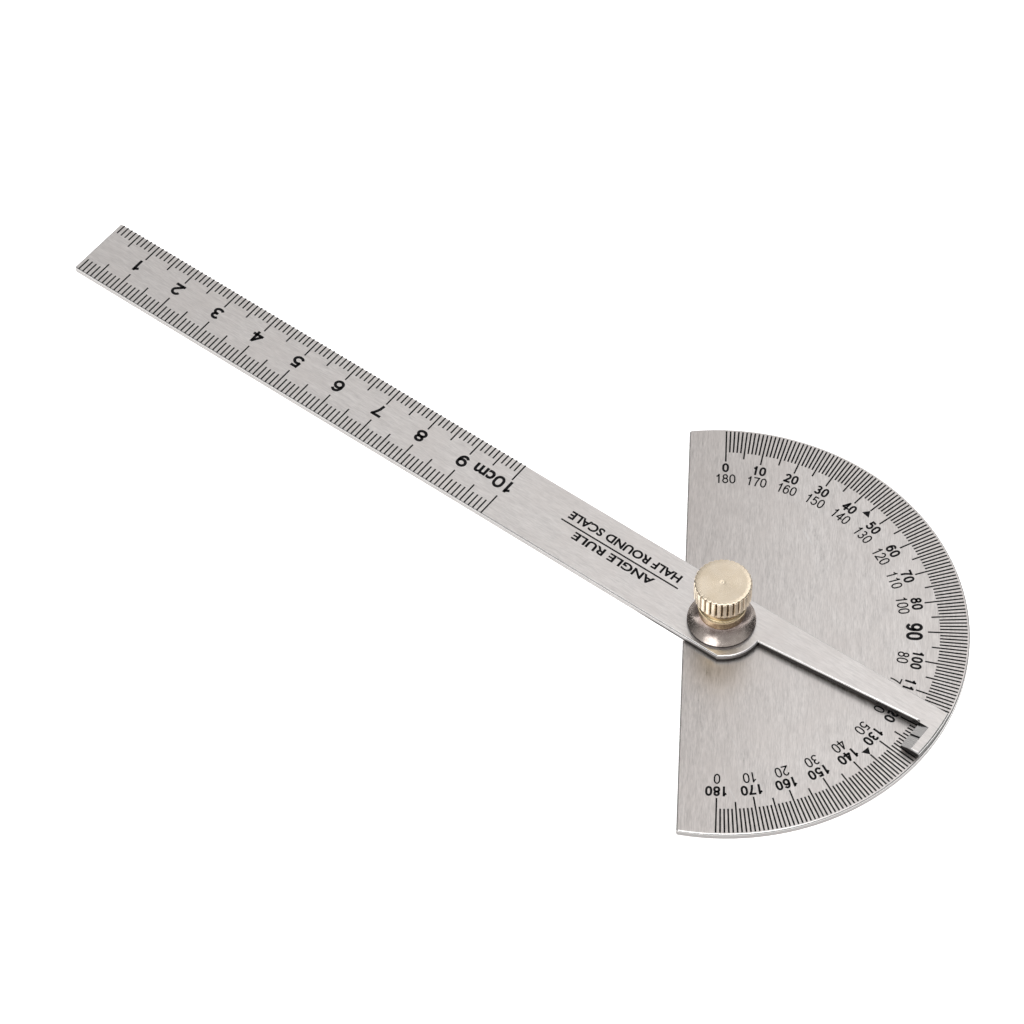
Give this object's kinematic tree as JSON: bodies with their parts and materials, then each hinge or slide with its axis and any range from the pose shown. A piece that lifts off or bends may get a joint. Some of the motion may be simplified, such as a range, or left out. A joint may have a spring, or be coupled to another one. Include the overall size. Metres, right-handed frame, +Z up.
{
  "type": "protractor",
  "caption": "Half-round graduated steel protractor with a swinging rule arm, hooked pointer and knurled clamp nut.",
  "frame": {"origin": "on the pivot axis, at the underside of the clamp screw's head, the part's lowest face", "axes": "+Z up out of the graduated face, +X from the pivot to the 90 degree mark, +Y to the 0 degree mark"},
  "size_m": [0.1728, 0.1355, 0.0153],
  "materials": {
    "plate_steel": "long brushed grain along the base edge",
    "arm_steel": "fine satin",
    "screw_steel": "turned",
    "polished_steel": "polished, slightly dark",
    "pale_brass": "turned and knurled, pale plated brass",
    "scale_ink": "matt black etched and filled marks"
  },
  "bodies": {
    "plate": {"plate": "plate_steel", "clamp_screw": "screw_steel", "spacer_washer": "screw_steel"},
    "arm": {"rule_arm": "arm_steel"},
    "washer": {"cup_washer": "polished_steel"},
    "nut": {"thumb_nut": "pale_brass"}
  },
  "joints": [
    {"name": "arm_turn", "type": "hinge", "parent": "plate", "child": "arm", "pos_m": [0, 0, 0.0029], "axis": [0, 0, 1], "continuous": true},
    {"name": "washer_lift", "type": "slide", "parent": "plate", "child": "washer", "axis": [0, 0, 1], "range_m": [0, 0.0007]},
    {"name": "nut_turn", "type": "hinge", "parent": "washer", "child": "nut", "pos_m": [0, 0, 0.0065], "axis": [0, 0, 1], "range_deg": [0, 360]}
  ],
  "couplings": [
    {"joint": "nut_turn", "follows": "washer_lift", "rad_per_m": 8976}
  ]
}
